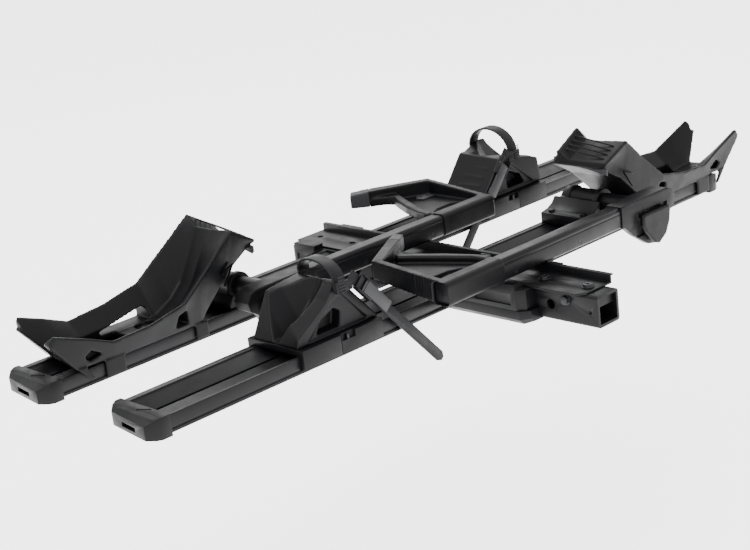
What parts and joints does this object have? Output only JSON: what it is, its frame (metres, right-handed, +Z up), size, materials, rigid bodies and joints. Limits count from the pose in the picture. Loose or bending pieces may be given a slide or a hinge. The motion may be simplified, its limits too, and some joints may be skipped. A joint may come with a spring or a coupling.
{
  "type": "hitch mounted bike rack",
  "caption": "Platform bike rack for a square hitch receiver: wheel trays across a spine, front wheel cradles, strap-down rear wheel cups and folding hook arms.",
  "frame": {"origin": "centre of the hitch pin hole, on the spine tube's axis", "axes": "+X along the trays and the hitch pin hole, +Y along the spine away from the vehicle, +Z up"},
  "size_m": [1.3764, 0.658, 0.2443],
  "materials": {
    "powder_coat": "satin black powder coat on steel",
    "black_anodised": "black anodised extruded aluminium, fine drawn lines",
    "cast_black": "cast aluminium with fine textured black coat",
    "black_plastic": "glass-filled nylon, fine moulded grain",
    "strap_plastic": "flexible ladder strap plastic",
    "grey_plastic": "mid grey moulded plastic touch points",
    "tyre_pad": "moulded rubber",
    "zinc_steel": "zinc plated steel",
    "black_bolt": "black oxide steel"
  },
  "bodies": {
    "frame": {"spine_tube": "powder_coat", "spine_top_channel": "powder_coat", "channel_bolts": "black_bolt", "hitch_cross_bolt": "black_bolt", "hitch_cross_nut": "black_bolt", "anti_rattle_wedge": "powder_coat", "spine_tail_plug": "black_plastic", "saddle_bolts": "black_bolt", "near_saddle_left": "cast_black", "near_saddle_right": "cast_black", "near_saddle_tub": "cast_black", "near_rail_left": "black_anodised", "near_rail_right": "black_anodised", "near_end_cap_left": "black_plastic", "near_end_cap_right": "black_plastic", "near_wheel_cradle": "black_plastic", "near_cradle_bolt": "black_bolt", "near_pivot_bracket": "cast_black", "far_saddle_left": "cast_black", "far_saddle_right": "cast_black", "far_saddle_tub": "cast_black", "far_rail_left": "black_anodised", "far_rail_right": "black_anodised", "far_end_cap_left": "black_plastic", "far_end_cap_right": "black_plastic", "far_wheel_cradle": "black_plastic", "far_cradle_bolt": "black_bolt", "far_pivot_bracket": "cast_black"},
    "near_arm": {"near_knuckle": "cast_black", "near_pivot_bolt": "black_bolt", "near_arm_tube": "black_anodised", "near_arm_plug": "black_plastic"},
    "near_paddle": {"near_release_paddle": "black_plastic"},
    "near_hook": {"near_hook": "black_plastic", "near_hook_tip_cap": "grey_plastic", "near_hook_insert": "grey_plastic", "near_trigger_pin": "zinc_steel"},
    "near_trigger": {"near_release_trigger": "grey_plastic"},
    "near_cup": {"near_wheel_cup": "black_plastic", "near_cup_base": "black_plastic", "near_cup_bolt": "black_bolt", "near_ladder_strap": "strap_plastic", "near_buckle_frame": "black_plastic"},
    "near_buckle": {"near_buckle_lever": "grey_plastic"},
    "far_arm": {"far_knuckle": "cast_black", "far_pivot_bolt": "black_bolt", "far_arm_tube": "black_anodised", "far_arm_plug": "black_plastic"},
    "far_paddle": {"far_release_paddle": "black_plastic"},
    "far_hook": {"far_hook": "black_plastic", "far_hook_tip_cap": "grey_plastic", "far_hook_insert": "grey_plastic", "far_trigger_pin": "zinc_steel"},
    "far_trigger": {"far_release_trigger": "grey_plastic"},
    "far_cup": {"far_wheel_cup": "black_plastic", "far_cup_base": "black_plastic", "far_cup_bolt": "black_bolt", "far_ladder_strap": "strap_plastic", "far_buckle_frame": "black_plastic"},
    "far_buckle": {"far_buckle_lever": "grey_plastic"}
  },
  "joints": [
    {"name": "near_arm_fold", "type": "hinge", "parent": "frame", "child": "near_arm", "pos_m": [0.303, 0.192, 0.0546], "axis": [0, 1, 0], "range_deg": [0, 115]},
    {"name": "near_hook_slide", "type": "slide", "parent": "near_arm", "child": "near_hook", "axis": [1, 0, 0], "range_m": [0, 0.15]},
    {"name": "near_trigger_pull", "type": "hinge", "parent": "near_hook", "child": "near_trigger", "pos_m": [-0.135, 0.09, 0.0636], "axis": [1, 0, 0], "range_deg": [0, 18], "stiffness_Nm_per_rad": 0.05, "springref_deg": -17.19},
    {"name": "near_paddle_squeeze", "type": "hinge", "parent": "near_arm", "child": "near_paddle", "pos_m": [0.304, 0.0495, 0.0496], "axis": [-1, 0, 0], "range_deg": [0, 28], "stiffness_Nm_per_rad": 0.4, "springref_deg": -17.19},
    {"name": "near_cup_slide", "type": "slide", "parent": "frame", "child": "near_cup", "axis": [1, 0, 0], "range_m": [-0.15, 0.03]},
    {"name": "near_buckle_open", "type": "hinge", "parent": "near_cup", "child": "near_buckle", "pos_m": [-0.29516, 0.118, 0.09565], "axis": [-0.7431, 0, -0.6691], "range_deg": [0, 85]},
    {"name": "far_arm_fold", "type": "hinge", "parent": "frame", "child": "far_arm", "pos_m": [-0.303, 0.4434, 0.0546], "axis": [0, -1, 0], "range_deg": [0, 115]},
    {"name": "far_hook_slide", "type": "slide", "parent": "far_arm", "child": "far_hook", "axis": [-1, 0, 0], "range_m": [0, 0.15]},
    {"name": "far_trigger_pull", "type": "hinge", "parent": "far_hook", "child": "far_trigger", "pos_m": [0.135, 0.3414, 0.0636], "axis": [1, 0, 0], "range_deg": [0, 18], "stiffness_Nm_per_rad": 0.05, "springref_deg": -17.19},
    {"name": "far_paddle_squeeze", "type": "hinge", "parent": "far_arm", "child": "far_paddle", "pos_m": [-0.304, 0.3009, 0.0496], "axis": [-1, 0, 0], "range_deg": [0, 28], "stiffness_Nm_per_rad": 0.4, "springref_deg": -17.19},
    {"name": "far_cup_slide", "type": "slide", "parent": "frame", "child": "far_cup", "axis": [-1, 0, 0], "range_m": [-0.15, 0.03]},
    {"name": "far_buckle_open", "type": "hinge", "parent": "far_cup", "child": "far_buckle", "pos_m": [0.30516, 0.3694, 0.09565], "axis": [-0.7431, 0, 0.6691], "range_deg": [0, 85]}
  ]
}
